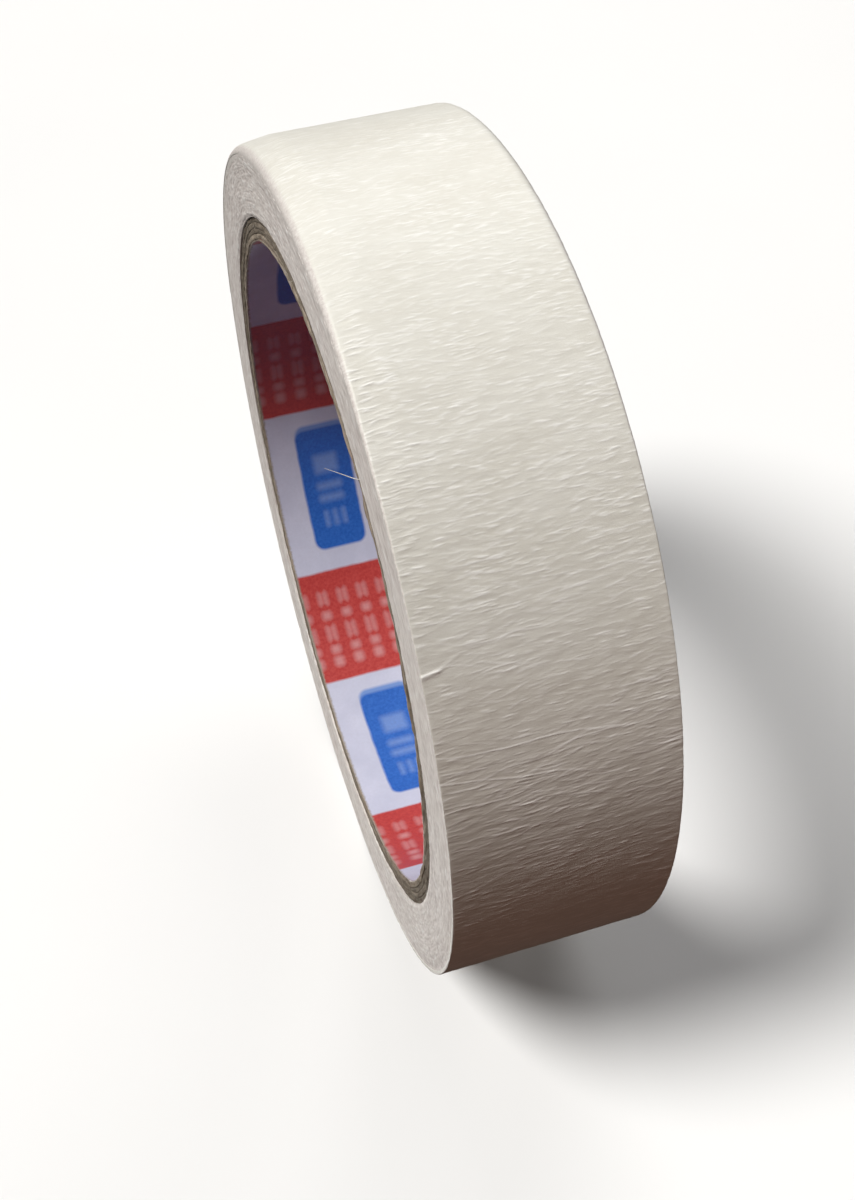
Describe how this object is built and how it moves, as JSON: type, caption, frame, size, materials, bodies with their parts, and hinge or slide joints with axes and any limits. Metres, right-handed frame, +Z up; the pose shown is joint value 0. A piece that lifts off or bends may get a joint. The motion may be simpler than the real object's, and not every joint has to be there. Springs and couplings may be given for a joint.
{
  "type": "masking tape roll",
  "caption": "Part-used roll of cream crepe paper masking tape on a board core with a printed liner, standing on its rim, with a free end that peels.",
  "frame": {"origin": "centre of the core's bore, halfway across the tape's width", "axes": "+X along the roll's axis, +Z up with the roll standing on its rim, +Y towards the back, where the free end lies"},
  "size_m": [0.024, 0.0986, 0.0985],
  "materials": {
    "tape_paper": "creped paper, faint satin sheen from the release coat",
    "adhesive": "tacky rubber adhesive, slightly glossy",
    "core_board": "grey-brown chipboard, matt, raw cut edge",
    "liner_paper": "white printed paper, satin, red bands and blue panels"
  },
  "bodies": {
    "roll": {"printed_liner": "liner_paper", "core_ply_1": "core_board", "core_ply_2": "core_board", "core_ply_3": "core_board", "core_ply_4": "core_board", "tape_pack": "tape_paper", "outer_turn": "tape_paper"},
    "tail_1": {"tail_1": "tape_paper", "adhesive_1": "adhesive"},
    "tail_2": {"tail_2": "tape_paper", "adhesive_2": "adhesive"},
    "tail_3": {"tail_3": "tape_paper", "adhesive_3": "adhesive"},
    "tail_4": {"tail_4": "tape_paper", "adhesive_4": "adhesive"},
    "tail_5": {"tail_5": "tape_paper", "adhesive_5": "adhesive"}
  },
  "joints": [
    {"name": "tail_peel", "type": "hinge", "parent": "roll", "child": "tail_1", "pos_m": [0, 0.02605, 0.04203], "axis": [1, 0, 0], "range_deg": [0, 22]},
    {"name": "tail_bend_2", "type": "hinge", "parent": "tail_1", "child": "tail_2", "pos_m": [0, 0.03325, 0.03661], "axis": [1, 0, 0], "range_deg": [0, 22]},
    {"name": "tail_bend_3", "type": "hinge", "parent": "tail_2", "child": "tail_3", "pos_m": [0, 0.03934, 0.02999], "axis": [1, 0, 0], "range_deg": [0, 22]},
    {"name": "tail_bend_4", "type": "hinge", "parent": "tail_3", "child": "tail_4", "pos_m": [0, 0.04413, 0.02236], "axis": [1, 0, 0], "range_deg": [0, 22]},
    {"name": "tail_bend_5", "type": "hinge", "parent": "tail_4", "child": "tail_5", "pos_m": [0, 0.04745, 0.014], "axis": [1, 0, 0], "range_deg": [0, 22]}
  ],
  "couplings": [
    {"joint": "tail_bend_2", "follows": "tail_peel", "ratio": 1},
    {"joint": "tail_bend_3", "follows": "tail_peel", "ratio": 1},
    {"joint": "tail_bend_4", "follows": "tail_peel", "ratio": 1},
    {"joint": "tail_bend_5", "follows": "tail_peel", "ratio": 1}
  ]
}
